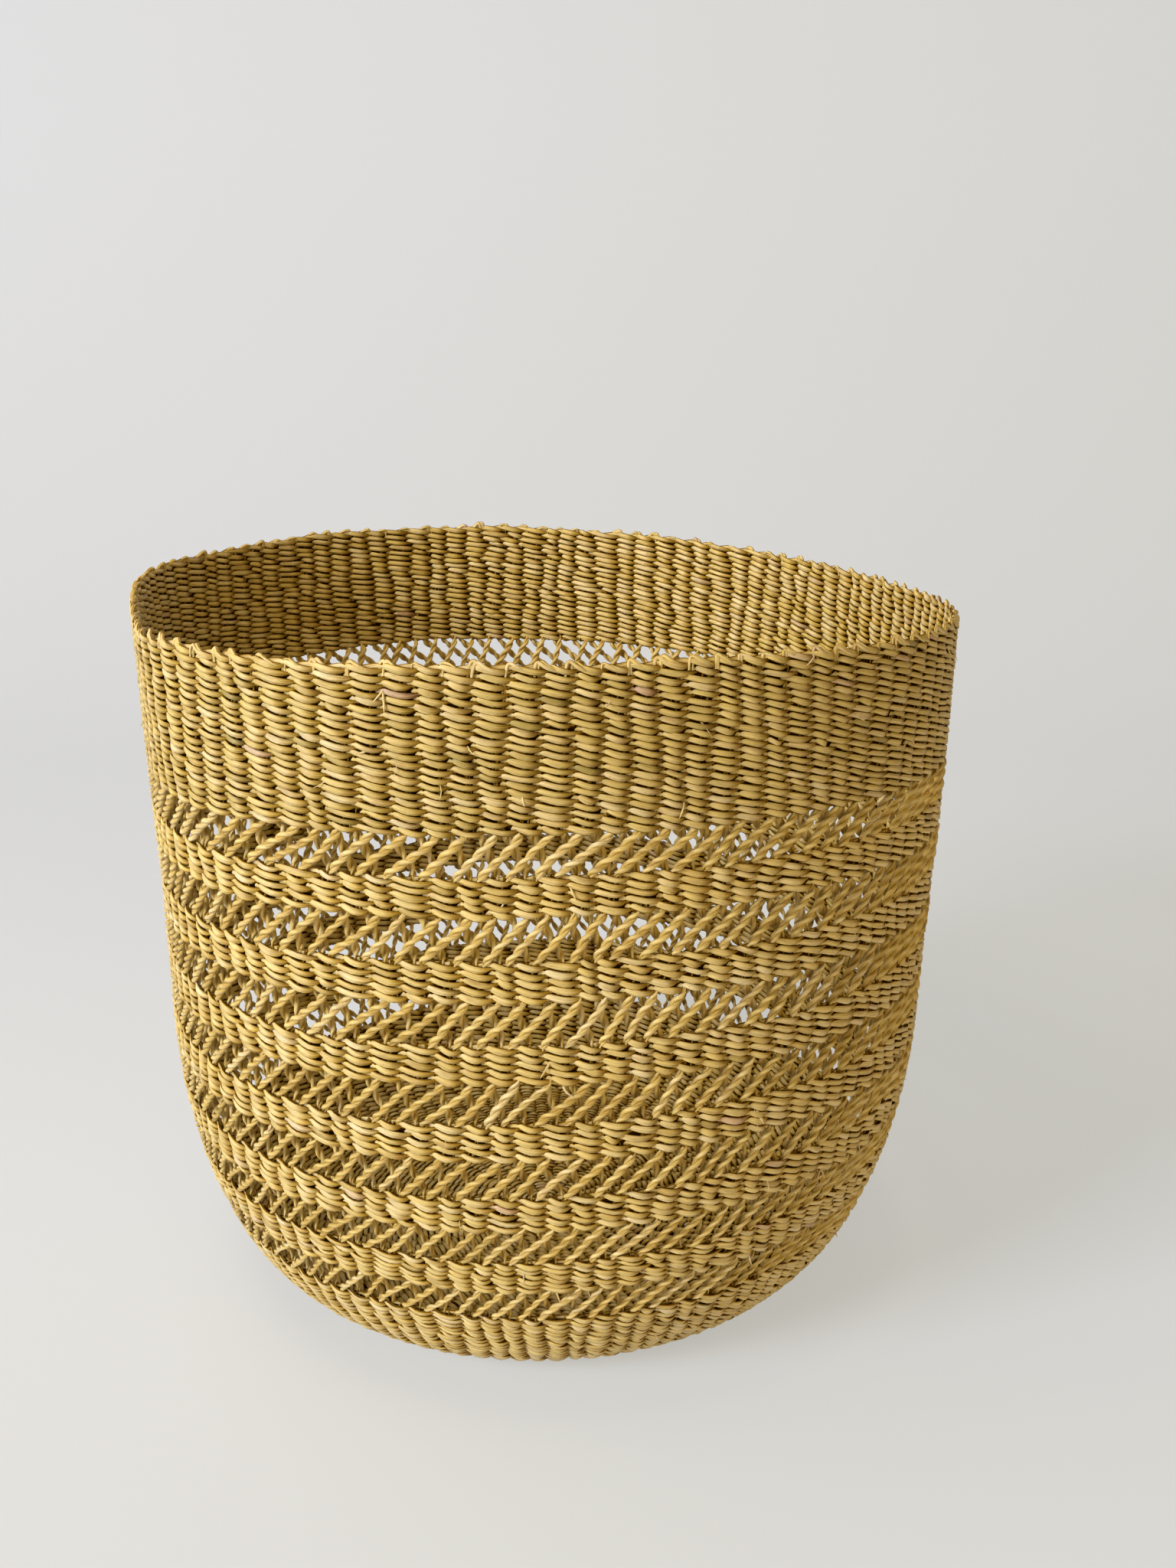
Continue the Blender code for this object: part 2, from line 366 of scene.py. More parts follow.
def group_mesh(group, offset, grid, low, high):
    """Corners, face sizes, bake map, vertices and their grain for one group of tubes."""
    count, steps = group["points"].shape[:2]
    sides = group["sides"]
    turn = 2 * math.pi * np.arange(sides) / sides
    cosine, sine = np.cos(turn), np.sin(turn)
    flat = group["flatness"]
    towards_face = np.sign(cosine) * np.abs(cosine) ** flat
    towards_edge = np.sign(sine) * np.abs(sine) ** ((1 + flat) / 2)
    thick = group["half_thickness"][..., None, None] * towards_face[:, None]
    wide = group["half_width"][..., None, None] * towards_edge[:, None]
    vertices = group["points"][:, :, None] + group["face"][:, :, None] * thick
    vertices = vertices + group["edge"][:, :, None] * wide

    tube = np.arange(count)[:, None, None]
    quads_long = steps if group["closed"] else steps - 1
    step = np.arange(quads_long)[None, :, None]
    side = np.arange(sides)[None, None, :]
    next_step, next_side = (step + 1) % steps, (side + 1) % sides
    corner = np.stack(np.broadcast_arrays(
        (tube * steps + step) * sides + side, (tube * steps + next_step) * sides + side,
        (tube * steps + next_step) * sides + next_side, (tube * steps + step) * sides + next_side), -1)

    stretches, columns, rows, _ = grid
    long = math.ceil(quads_long / stretches)
    cell = tube * stretches + step // long
    left, bottom = (cell % columns) / columns, (cell // columns) / rows
    reach = (STRIP_END if not group["closed"] else 1 - STRIP_START) - STRIP_START
    u = [left + (STRIP_START + reach * (step % long + ahead) / long) / columns for ahead in (0, 1)]
    v = [bottom + (STRIP_LOW + (STRIP_HIGH - STRIP_LOW) * (side + ahead) / sides) / rows
         for ahead in (0, 1)]
    maps = np.stack([np.stack(np.broadcast_arrays(u[a], low + (high - low) * v[b]), -1)
                     for a, b in ((0, 0), (1, 0), (1, 1), (0, 1))], -2)
    corners, sizes, maps = [corner.ravel()], [np.full(corner.size // 4, 4)], [maps.reshape(-1, 2)]

    if not group["closed"]:
        cells = np.arange(count)[:, None]
        for end, middle, order in ((0, CAP_MIDDLES[0], -1), (steps - 1, CAP_MIDDLES[1], 1)):
            ring = np.arange(sides)[None, ::order]
            corners.append(((cells * steps + end) * sides + ring).ravel())
            sizes.append(np.full(count, sides))
            cap_u = (cells % columns + middle + CAP_REACH[0] * cosine) / columns
            cap_v = (cells // columns + 0.5 + CAP_REACH[1] * sine) / rows
            maps.append(np.stack([cap_u, low + (high - low) * cap_v], -1).reshape(-1, 2))

    starts = np.random.default_rng(count + steps).uniform(0, 1, (count, 1, 1))
    grain = np.stack(np.broadcast_arrays(
        group["length"][..., None] + starts, wide[..., 0], thick[..., 0]), -1)
    tint = np.broadcast_to(group["tint"][..., None], grain.shape[:-1]).ravel()
    # Painted shade: the edges of a section, where a straw meets its neighbours, are darkened as if in shade
    open_edge = 1 - group["edge_painted_shade"] * sine ** EDGE_SHARPNESS
    painted_shade = (1 - (1 - group["painted_shade"][..., None]) * open_edge).ravel()
    return (np.concatenate(corners) + offset, np.concatenate(sizes), np.concatenate(maps),
            vertices.reshape(-1, 3), grain.reshape(-1, 3), tint, painted_shade)


def tube_piece(name, groups, material):
    """One piece made of groups of tubes, with a map for baking and the grain of each straw."""
    area = sum(g["length"][..., -1].sum() * 2 * math.pi * g["half_width"].mean() for g in groups)
    grids = [strip_grid(group, math.sqrt(area)) for group in groups]
    total = sum(grid[3] for grid in grids)
    parts, offset, low = [], 0, 0.0
    for group, grid in zip(groups, grids):
        high = low + grid[3] / total
        parts.append(group_mesh(group, offset, grid, low, high))
        offset += len(parts[-1][3])
        low = high
    corners, sizes, maps, vertices, grain, tint, painted_shade = (np.concatenate(kind) for kind in zip(*parts))

    mesh = bpy.data.meshes.new(name)
    mesh.vertices.add(len(vertices))
    mesh.vertices.foreach_set("co", vertices.ravel())
    mesh.loops.add(len(corners))
    mesh.loops.foreach_set("vertex_index", corners)
    mesh.polygons.add(len(sizes))
    mesh.polygons.foreach_set("loop_start", np.concatenate([[0], np.cumsum(sizes)[:-1]]))
    mesh.polygons.foreach_set("use_smooth", np.ones(len(sizes), bool))
    mesh.update(calc_edges=True)
    mesh.uv_layers.new(name="OFBake").data.foreach_set("uv", maps.ravel())
    mesh.attributes.new("grain", "FLOAT_VECTOR", "POINT").data.foreach_set("vector", grain.ravel())
    mesh.attributes.new("tint", "FLOAT", "POINT").data.foreach_set("value", tint)
    mesh.attributes.new("painted_shade", "FLOAT", "POINT").data.foreach_set("value", painted_shade)
    mesh.materials.append(material)
    piece = bpy.data.objects.new(name, mesh)
    bpy.context.scene.collection.objects.link(piece)
    return piece


# Twining


def straw_tints(passes, rng):
    """A tint for each pass of one straw, with a new straw spliced in now and then."""
    tints = []
    while len(tints) < passes:
        tints += [rng.uniform()] * int(rng.integers(SPLICE_LEAST, SPLICE_MOST))
    return 0.5 + SPLICE_SPREAD * (np.array(tints[:passes]) - 0.5)


def twined_row(run, columns, pitch, rng):
    """The two straws of one closed row of twining. Each is outside one stake pair and inside the next.

    shown is the way along a pass, from 0 at its high end to 1 at its low end, and full is 1 at its middle.
    """
    passes = np.repeat(np.arange(columns), len(PASS_SAMPLES))
    places = (np.arange(columns)[:, None] + PASS_SAMPLES).ravel() + np.array([[0], [1]])
    shown = 1 - np.abs(1 - places % 2)
    full = np.sin(math.pi * shown)

    def uneven(size):
        """A random value for each pass, up to a limit on each side."""
        values = rng.normal(0, 1, (2, columns))
        return size * np.clip(values, -UNEVEN_LIMIT, UNEVEN_LIMIT)[:, passes]

    swing = np.sin(math.pi * (places + PASS_LEAD))
    swing = np.where(swing < 0, INSIDE_SWING * swing, swing)
    out = CROSSING_OUT + PASS_OUT * swing * (1 + uneven(UNEVEN_OUT))
    outside = np.interp(shown, PASS_SHARES, PASS_HEIGHTS)
    level = PASS_HEIGHTS[0] + (PASS_HEIGHTS[-1] - PASS_HEIGHTS[0]) * shown
    height = np.where(places % 2 < 1, outside, (outside + level) / 2)
    rise = pitch * (height + full * uneven(UNEVEN_HEIGHT))
    half_width = pitch * np.interp(shown, PASS_SHARES, PASS_HALF_WIDTHS) * (1 + full * uneven(UNEVEN_WIDTH))
    crossings = np.append(rng.normal(0, CROSSING_SHIFT, columns), 0)
    crossings[-1] = crossings[0]
    shifted = places[0] + np.interp(places[0], np.arange(columns + 1), crossings)
    points, ways = place(shifted / columns, run + rise, out)
    roll = PASS_TILT * swing + full * uneven(UNEVEN_ROLL)
    tint = np.stack([straw_tints(columns, rng) for _ in range(2)]) + rng.normal(0, PASS_SPREAD, (2, columns))
    tint = np.where(rng.uniform(size=(2, columns)) < ODD_PASSES, rng.uniform(size=(2, columns)), tint)
    # A straw that comes out from behind already has the tint of the pass that it starts
    emerges = (swing < 0) & (places % 1 > EMERGES_AFTER)
    tint = np.where(emerges, tint[:, (passes + 1) % columns], tint[:, passes])
    within = np.clip(-swing / INSIDE_SWING, 0, 1)
    # Painted shade: darker towards the ends of a pass, where it goes under its neighbours, most at its low
    # end, and on the part inside the basket
    painted_shade = PASS_PAINTED_SHADE * shown * (1 - full) + END_PAINTED_SHADE * np.clip(-np.cos(math.pi * shown), 0, 1)
    painted_shade = painted_shade + INSIDE_PAINTED_SHADE * within
    tint = np.clip(tint, 0, 1)
    # The inside part of a straw is painted paler: painted light that lifts the inside, which the lamps light
    # too little
    tint = np.where(tint < INSIDE_PALEST, np.minimum(tint + INSIDE_PAINTED_LIGHT * within, INSIDE_PALEST), tint)
    return tubes(points, ways, half_width, STRAW_HALF_THICKNESS, tint, True, STRAW_SIDES, roll, painted_shade,
                 STRAW_FLATNESS, 1.0)


def gap_shade(runs, columns):
    """Dark strips between the rows of a dense stretch, flat in the wall's middle: painted shade that closes
    its gaps.
    """
    runs = (runs[1:] + runs[:-1])[:, None] / 2
    places = np.arange(2 * columns) / 2
    points, ways = place(places / columns, runs, CROSSING_OUT)
    return tubes(points, ways, GAP_SHADE_HALF_WIDTH, GAP_SHADE_HALF_THICKNESS, GAP_SHADE_TINT, True, GAP_SHADE_SIDES,
                 painted_shade=1.0)


def merged(groups):
    """Groups of closed tubes with the same number of points, as one group."""
    joined = dict(groups[0])
    for key in ("points", "face", "edge", "half_width", "half_thickness", "tint", "painted_shade", "length"):
        joined[key] = np.concatenate([group[key] for group in groups])
    return joined


def row_runs(bounds):
    """The runs of the rows that fill a stretch of wall, and the pitch at which they do."""
    start, end = bounds
    count = round((end - start) / ROW_PITCH)
    pitch = (end - start) / count
    return start + pitch * (np.arange(count) + 0.5), pitch


# Stakes


# The columns of both sets of stakes at the foot and at the top of the heel
OUTER_START = (0.50, 0.70)
INNER_START = (0.50, 0.38)


def stake_ways():
    """Runs along the wall, and the column of each set of stakes there.

    In each open ring and the band over it together, the outer set goes two columns to the right and the
    inner set one to the left, so that both lie between the same passes again.
    """
    runs = [FLOOR_EDGE, BOUNDS["heel"][1]]
    outer, inner = list(OUTER_START), list(INNER_START)
    for ring in range(1, OPEN_RINGS + 1):
        runs.append(BOUNDS[f"open_{ring}"][1])
        lean = OUTER_LEAN_COLUMNS[ring - 1]
        outer.append(outer[-1] + lean)
        inner.append(inner[-1] + INNER_LEAN_COLUMNS)
        runs.append(BOUNDS[f"band_{ring}" if ring < OPEN_RINGS else "border"][1])
        outer.append(outer[-1] + 2 - lean)
        inner.append(inner[-1] - 1 - INNER_LEAN_COLUMNS)
    return runs, {"outer": outer, "inner": inner}


STAKE_RUNS, STAKE_COLUMNS = stake_ways()

# The corners of a stake's way are rounded over this far on each side, by a mean of so many points
BEND = 0.0014
BEND_POINTS = 5


def eased(values_at, run):
    """A way with corners, rounded by taking its mean over a short stretch."""
    return sum(values_at(run + BEND * shift) for shift in np.linspace(-1, 1, BEND_POINTS)) / BEND_POINTS


def stake_column(side, run):
    """The column of the stakes of one set at a run."""
    return eased(lambda r: np.interp(r, STAKE_RUNS, STAKE_COLUMNS[side]), run)


def bare(run):
    """1 where the stakes are bare, 0 where the twining grips them, and in between near a band's edge."""
    def stepped(r):
        """The same, with a sharp step at each edge."""
        return sum(((r > BOUNDS[f"open_{ring}"][0]) & (r < BOUNDS[f"open_{ring}"][1])).astype(float)
                   for ring in range(1, OPEN_RINGS + 1))
    return eased(stepped, run)


def stake_out(side, run):
    """How far the stakes of a set stand out."""
    way = 1 if side == "outer" else -1
    return way * STAKE_OUT_OPEN * bare(run) + (CROSSING_OUT + way * STAKE_OUT_BAND) * (1 - bare(run))


def cords(side, start, end, step, sides, painted_shade, rng, cord_size=1.0):
    """Both plies of every stake of one set between two runs."""
    run = np.linspace(start, end, max(2, round((end - start) / step)) + 1)
    stake = np.arange(COLUMNS)[:, None] + rng.normal(0, CORD_SHIFT, (COLUMNS, 1))
    stake = stake + rng.normal(0, CORD_LEAN, (COLUMNS, 1)) * (run - run.mean()) / (end - start)
    middle, ways = place((stake + stake_column(side, run)) / COLUMNS, run, stake_out(side, run))
    forward = along(middle, False)
    sideways = unit(np.cross(forward, ways))
    outward = np.cross(sideways, forward)
    length = lengths_along(middle)
    twist = 2 * math.pi * length / TWIST_PITCH + rng.uniform(0, 2 * math.pi, (COLUMNS, 1))
    tint = rng.uniform(*CORD_TINTS, (COLUMNS, 1))
    size = cord_size * (1 + rng.normal(0, CORD_UNEVEN, (COLUMNS, 1)))
    size = size * (STAKE_SIZE_BAND + (1 - STAKE_SIZE_BAND) * bare(run))
    groups = []
    for ply in (0, 1):
        turn = (twist + math.pi * ply)[..., None]
        from_middle = outward * np.cos(turn) + sideways * np.sin(turn)
        points = middle + PLY_FROM_MIDDLE * size[..., None] * from_middle
        ply_tint = np.clip(tint + rng.normal(0, PLY_SPREAD, (COLUMNS, 1)), 0, 1)
        groups.append(tubes(points, from_middle, PLY_RADIUS * PLY_WIDE * size, PLY_RADIUS * PLY_THICK * size,
                            ply_tint, False, sides, painted_shade=painted_shade, edge_painted_shade=PLY_EDGE_PAINTED_SHADE))
    return merged(groups)


# Loose ends: the cut tails of straws that were spliced in, and fibres that have split off

TAIL_STEPS = 10
TAIL_OUT = 0.0024
TAIL_LIFTS = (0.0004, 0.0030)
TAIL_CURVE = 1.5
TAIL_BEND = 0.35
TAIL_TINT = 0.78
TAIL_SPREAD = 0.12
TAIL_THICKEST_MM = 0.22
LOWEST_END = FLOOR_RADIUS + 0.025

# How wide a loose end is along its length
TAPER_SHARES = (0, 0.15, 0.7, 1)
TAPER_WIDTHS = (0.6, 1, 0.8, 0.15)

# Those placed at random: the share that are single fibres, lengths and half widths in millimetres, and the
# mean heading in degrees with its spread
FIBRE_SHARE = 0.55
END_LENGTHS_MM = (3.5, 9.0)
FIBRE_WIDTHS_MM = (0.12, 0.20)
STRAW_WIDTHS_MM = (0.30, 0.60)
END_HEADING = -75
END_HEADING_SPREAD = 45

# Those the photo shows, as turns, run, length in millimetres, heading in degrees up from the way to the
# right, and half width in millimetres
SEEN_ENDS = (
    (0.7022, 0.4598, 8.5, -84, 0.50), (0.7022, 0.4598, 4.5, -122, 0.40), (0.7282, 0.4390, 4.0, -70, 0.35),
    (0.7457, 0.4209, 5.0, -100, 0.40), (0.7523, 0.4142, 6.0, -50, 0.50), (0.9463, 0.4547, 7.0, -60, 0.45),
    (0.7598, 0.3823, 6.0, -65, 0.45), (0.7373, 0.3787, 5.5, -110, 0.40), (0.9547, 0.3429, 7.0, -75, 0.50),
    (0.8297, 0.2800, 7.5, -55, 0.75), (0.8290, 0.2805, 9.0, -100, 0.16), (0.8300, 0.2790, 8.0, -20, 0.14),
    (0.8588, 0.2413, 6.0, -80, 0.50), (0.8663, 0.2375, 6.0, -120, 0.60), (0.8668, 0.2375, 5.0, -70, 0.50),
    (0.7845, 0.2137, 6.0, -70, 0.50), (0.8338, 0.2046, 6.0, -95, 0.50), (0.8003, 0.1617, 5.0, -60, 0.45),
    (0.8560, 0.1692, 6.0, -80, 0.50))


def loose_ends(bounds, count, rng):
    """Loose ends on the outside of a stretch of wall: those the photo shows there, and count more."""
    seen = np.array([end for end in SEEN_ENDS if bounds[0] <= end[1] < bounds[1]]).reshape(-1, 5)
    fibre = rng.uniform(size=count) < FIBRE_SHARE
    more = np.stack([
        rng.uniform(size=count),
        rng.uniform(max(bounds[0], LOWEST_END), bounds[1], count),
        rng.uniform(*END_LENGTHS_MM, count),
        rng.normal(END_HEADING, END_HEADING_SPREAD, count),
        np.where(fibre, rng.uniform(*FIBRE_WIDTHS_MM, count), rng.uniform(*STRAW_WIDTHS_MM, count))], 1)
    turns, run, length, heading, half_width = np.concatenate([seen, more]).T[..., None]
    share = np.linspace(0, 1, TAIL_STEPS)
    bend = rng.normal(0, TAIL_BEND, turns.shape)
    way = np.radians(heading) + bend * share
    reach = np.interp(run, RUN, RADIUS) * 2 * math.pi
    turns = turns + length / 1000 * share * np.cos(way) / reach
    run = run + length / 1000 * share * np.sin(way)
    lift = rng.uniform(*TAIL_LIFTS, run.shape[:1] + (1,))
    points, ways = place(turns, run, TAIL_OUT + lift * share ** TAIL_CURVE)
    taper = np.interp(share, TAPER_SHARES, TAPER_WIDTHS)
    tint = np.clip(rng.normal(TAIL_TINT, TAIL_SPREAD, bend.shape), 0, 1)
    half_thickness = np.minimum(half_width, TAIL_THICKEST_MM) / 1000 * taper
    return tubes(points, ways, half_width / 1000 * taper, half_thickness, tint, False, PLY_SIDES)


# Materials

# Straw colours, from the darkest straw through gold to the palest, and last the pinkish tan of a stained one
TINT_STOPS = ((0.0, "B49C50"), (0.2, "D4B868"), (0.45, "DFC676"), (0.7, "E4CD88"), (0.9, "EAD8A2"),
              (1.0, "D4B68A"))
# A darker copy of them for the upper band, the border and the floor: painted shade that tones down how
# brightly the lamps light those parts
UPPER_STOPS = ((0.0, "A8944A"), (0.2, "C8AF62"), (0.45, "D4BC6D"), (0.7, "D9C17E"), (0.9, "E0CD96"),
               (1.0, "C6A884"))
STAIN = "A08244"
FLECK = "6E5426"

# Marks on the straws, as how many to a metre along a straw and across it, and their detail. Bundles of
# fibres are 14 mm long and 0.4 mm wide here: real fibres are about 0.15 mm wide, and are drawn coarser to
# show. Mottling is 9 by 2.4 mm, and flecks are 1.2 by 0.7 mm.
FIBRES = (70, 2600, 2.0)
MOTTLE = (110, 420, 2.0)
FLECKS = (800, 1500, 1.0)

# The values of each noise between which a mark comes up, and how far a stain and a fleck cover the straw
FIBRE_VALUES = (0.3, 0.7)
STAIN_VALUES = (0.52, 0.74)
STAIN_COVERS = 0.55
FLECK_VALUES = (0.70, 0.78)
FLECK_COVERS = 0.6

# How much darker and paler the fibres are than the straw, how far they stand out, and how rough they are
FIBRE_DARK = 0.25
FIBRE_PALE = 0.06
FIBRE_RELIEF = 0.0005
FIBRE_BUMP = 0.8
SATIN = (0.34, 0.56)
TWINED_DEPTH = 1.3
CORD_DEPTH = 1.0

# Painted shade starts from here on. Where it is deepest, the colour is raised to this power and darkened to
# this share, and the gloss is gone halfway there.
PAINTED_SHADE_STARTS = 0.1
PAINTED_SHADE_POWER = 3.2
PAINTED_SHADE_DARKEST = 0.30
GLOSS = 0.5
GLOSS_GONE = 0.5


def add(tree, kind, inputs=None, **settings):
    """Add a node with its settings, and give its inputs values or links from other nodes' outputs."""
    node = tree.nodes.new(kind)
    for key, value in settings.items():
        setattr(node, key, value)
    for key, value in (inputs or {}).items():
        if isinstance(value, bpy.types.NodeSocket):
            tree.links.new(value, node.inputs[key])
        else:
            node.inputs[key].default_value = value
    return node


def dried_grass(name, stops, depth):
    """Dried elephant grass, split and left as it is: golden and satin, streaked along its fibres by depth,
    and mottled and flecked where it was bruised or stained.
    """
    material = bpy.data.materials.new(name)
    material.use_nodes = True
    tree = material.node_tree
    shader = tree.nodes["Principled BSDF"]
    grain = add(tree, "ShaderNodeAttribute", attribute_name="grain").outputs["Vector"]
    tint = add(tree, "ShaderNodeAttribute", attribute_name="tint").outputs["Fac"]
    painted_shade = add(tree, "ShaderNodeAttribute", attribute_name="painted_shade").outputs["Fac"]

    ramp = add(tree, "ShaderNodeValToRGB", {"Fac": tint})
    elements = ramp.color_ramp.elements
    while len(elements) < len(stops):
        elements.new(0.5)
    for element, (position, colour) in zip(elements, stops):
        element.position = position
        element.color = linear(colour)

    def marks(along_it, across_it, detail):
        """A noise drawn out along the straw, at so many marks to a metre each way."""
        scale = (along_it, across_it, across_it)
        stretched = add(tree, "ShaderNodeMapping", {"Vector": grain, "Scale": scale}).outputs["Vector"]
        noise = add(tree, "ShaderNodeTexNoise", {"Vector": stretched, "Scale": 1.0, "Detail": detail})
        return noise.outputs["Fac"]

    fibres = marks(*FIBRES)
    mottle = marks(*MOTTLE)
    flecks = marks(*FLECKS)
    bright = add(tree, "ShaderNodeMapRange", {
        "Value": fibres, "From Min": FIBRE_VALUES[0], "From Max": FIBRE_VALUES[1],
        "To Min": 1 - FIBRE_DARK * depth, "To Max": 1 + FIBRE_PALE * depth})
    lit = add(tree, "ShaderNodeMix", {
        0: 1.0, 6: ramp.outputs["Color"], 7: bright.outputs["Result"]},
        data_type="RGBA", blend_type="MULTIPLY")
    stain = add(tree, "ShaderNodeMapRange", {
        "Value": mottle, "From Min": STAIN_VALUES[0], "From Max": STAIN_VALUES[1], "To Max": STAIN_COVERS})
    stained = add(tree, "ShaderNodeMix", {
        0: stain.outputs["Result"], 6: lit.outputs[2], 7: linear(STAIN)}, data_type="RGBA")
    fleck = add(tree, "ShaderNodeMapRange", {
        "Value": flecks, "From Min": FLECK_VALUES[0], "From Max": FLECK_VALUES[1], "To Max": FLECK_COVERS})
    flecked = add(tree, "ShaderNodeMix", {
        0: fleck.outputs["Result"], 6: stained.outputs[2], 7: linear(FLECK)}, data_type="RGBA")

    # Painted shade: where a straw is tucked in, its colour is raised to a power and darkened, standing in for
    # the shade there and the light that has bounced off grass before, and its gloss is taken away
    shade_power = add(tree, "ShaderNodeMapRange", {
        "Value": painted_shade, "From Min": PAINTED_SHADE_STARTS, "To Min": 1.0, "To Max": PAINTED_SHADE_POWER})
    deepened = add(tree, "ShaderNodeGamma", {
        "Color": flecked.outputs[2], "Gamma": shade_power.outputs["Result"]})
    shade = add(tree, "ShaderNodeMapRange", {
        "Value": painted_shade, "From Min": PAINTED_SHADE_STARTS, "To Min": 1.0, "To Max": PAINTED_SHADE_DARKEST})
    shaded_colour = add(tree, "ShaderNodeMix", {
        0: 1.0, 6: deepened.outputs["Color"], 7: shade.outputs["Result"]},
        data_type="RGBA", blend_type="MULTIPLY")
    tree.links.new(shaded_colour.outputs[2], shader.inputs["Base Color"])
    gloss = add(tree, "ShaderNodeMapRange", {
        "Value": painted_shade, "From Min": PAINTED_SHADE_STARTS, "From Max": GLOSS_GONE, "To Min": GLOSS, "To Max": 0.0})
    tree.links.new(gloss.outputs["Result"], shader.inputs["Specular IOR Level"])

    satin = add(tree, "ShaderNodeMapRange", {"Value": fibres, "To Min": SATIN[0], "To Max": SATIN[1]})
    tree.links.new(satin.outputs["Result"], shader.inputs["Roughness"])
    bump = add(tree, "ShaderNodeBump", {
        "Height": fibres, "Strength": FIBRE_BUMP, "Distance": FIBRE_RELIEF})
    tree.links.new(bump.outputs["Normal"], shader.inputs["Normal"])
    return material


PAPER = "DFE4F0"
PAPER_GLOW = "DADAD4"
PAPER_GLOW_SHARE = 0.66
PAPER_ROUGHNESS = 0.9


def white_paper():
    """Studio paper, matt. To the camera it shows part of its own colour, so its shadows stay light."""
    material = bpy.data.materials.new("white studio paper, matt")
    material.use_nodes = True
    tree = material.node_tree
    shader = tree.nodes["Principled BSDF"]
    shader.inputs["Base Color"].default_value = linear(PAPER)
    shader.inputs["Roughness"].default_value = PAPER_ROUGHNESS
    glow = add(tree, "ShaderNodeEmission", {"Color": linear(PAPER_GLOW), "Strength": 1.0})
    seen = add(tree, "ShaderNodeLightPath").outputs["Is Camera Ray"]
    share = add(tree, "ShaderNodeMath", {0: seen, 1: PAPER_GLOW_SHARE}, operation="MULTIPLY")
    both = add(tree, "ShaderNodeMixShader", {0: share.outputs[0], 1: shader.outputs[0], 2: glow.outputs[0]})
    tree.links.new(both.outputs[0], tree.nodes["Material Output"].inputs["Surface"])
    return material


# Building the basket

# What starts the random draws of each stretch. Rings add their number, and the floor its count of stakes.
SEED = 7
SEEDS = {"heel": 10, "heel_stakes": 11, "bare": 20, "band": 30, "band_stakes": 40, "upper": 50,
         "upper_stakes": 51, "border": 60, "folds": 61, "knot": 99, "floor": 100}
LOOSE_ENDS = {"heel": 8, "band": 9, "upper": 28}

ROWS_A_PIECE = 7
BARE_OVERLAP = 0.0030
BARE_STEP = 0.0011
GRIPPED_STEP = 0.0020
GRIPPED_SIDES = 4
# Stakes gripped by the twining are darkened with painted shade, as they show only deep in the gaps between
# passes
GRIPPED_PAINTED_SHADE = 0.4


def finish_piece(piece, slot, *nodes):
    """Make a piece stand for its nodes, on the basket's one body. slot is not used."""
    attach(piece, "root")
    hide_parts(*nodes)


def twining(label, bounds, slot, material, node, seed, columns=COLUMNS):
    """The rows of one dense stretch, a few rows to a piece, and the dark strips of painted shade between
    them.
    """
    runs, pitch = row_runs(bounds)
    parts = math.ceil(len(runs) / ROWS_A_PIECE)
    for part, some in enumerate(np.array_split(runs, parts), start=1):
        rng = np.random.default_rng((SEED, seed, part))
        rows = [twined_row(run, columns, pitch, rng) for run in some]
        name = f"{label}_{part}" if parts > 1 else label
        finish_piece(tube_piece(name, [merged(rows)], material), slot, node)
    if len(runs) > 1:
        finish_piece(tube_piece(f"{label}_packing", [gap_shade(runs, columns)], material), slot, node)


def gripped_stakes(label, bounds, material, node, seed, ends):
    """The stakes inside a dense stretch, which show in the gaps between its passes, and its loose ends."""
    rng = np.random.default_rng((SEED, seed))
    groups = [cords(side, *bounds, GRIPPED_STEP, GRIPPED_SIDES, GRIPPED_PAINTED_SHADE, rng)
              for side in ("outer", "inner")]
    piece = tube_piece(label, [merged(groups), loose_ends(bounds, ends, rng)], material)
    finish_piece(piece, "outer_stake_straw", node)


def bare_stakes(ring, material):
    """Both sets of stakes where they stand bare, and a little way into the dense rings above and below."""
    start, end = BOUNDS[f"open_{ring}"]
    for number, side in enumerate(("outer", "inner")):
        rng = np.random.default_rng((SEED, SEEDS["bare"] + ring, number))
        stakes = cords(side, start - BARE_OVERLAP, end + BARE_OVERLAP, BARE_STEP, PLY_SIDES, 0.0, rng,
                       CORD_SIZES[ring - 1])
        piece = tube_piece(f"{side}_cords_{ring}", [stakes], material)
        finish_piece(piece, f"{side}_stake_straw", f"{side}_stakes_{ring}")


# A folded stake end, as columns along, heights above the last row, distances out and half widths
FOLD_COLUMNS = (-0.12, -0.11, -0.08, 0.00, 0.09, 0.22, 0.45, 0.70)
FOLD_HEIGHTS = (-0.0040, -0.0014, 0.0008, 0.0019, 0.0012, -0.0003, -0.0014, -0.0030)
FOLD_OUTS = (0.0014, 0.0013, 0.0008, 0.0007, 0.0014, 0.0022, 0.0024, 0.0008)
FOLD_HALF_WIDTHS = (0.0006, 0.0008, 0.0009, 0.0009, 0.0009, 0.0009, 0.0008, 0.0003)
FOLD_HALF_THICKNESS = 0.00075
FOLD_STEPS = 21
FOLD_SIDES = 8
# Painted shade at the edges of a fold's plies, where they meet
FOLD_EDGE_PAINTED_SHADE = 0.5

# The columns between a fold's two plies, and how folds differ: in size, in the height of each ply's loop, in
# columns between folds and between plies, in distance out, in width and in tint
FOLD_PLIES = (-0.075, 0.075)
FOLD_SIZES = (0.25, 1.1)
FOLD_LOOPS = (0.6, 1.2)
FOLD_SHIFT = 0.08
FOLD_PLY_SHIFT = 0.02
FOLD_OUT_SPREAD = 0.0003
FOLD_UNEVEN = 0.12
FOLD_TINT = 0.6
FOLD_TINT_SPREAD = 0.18


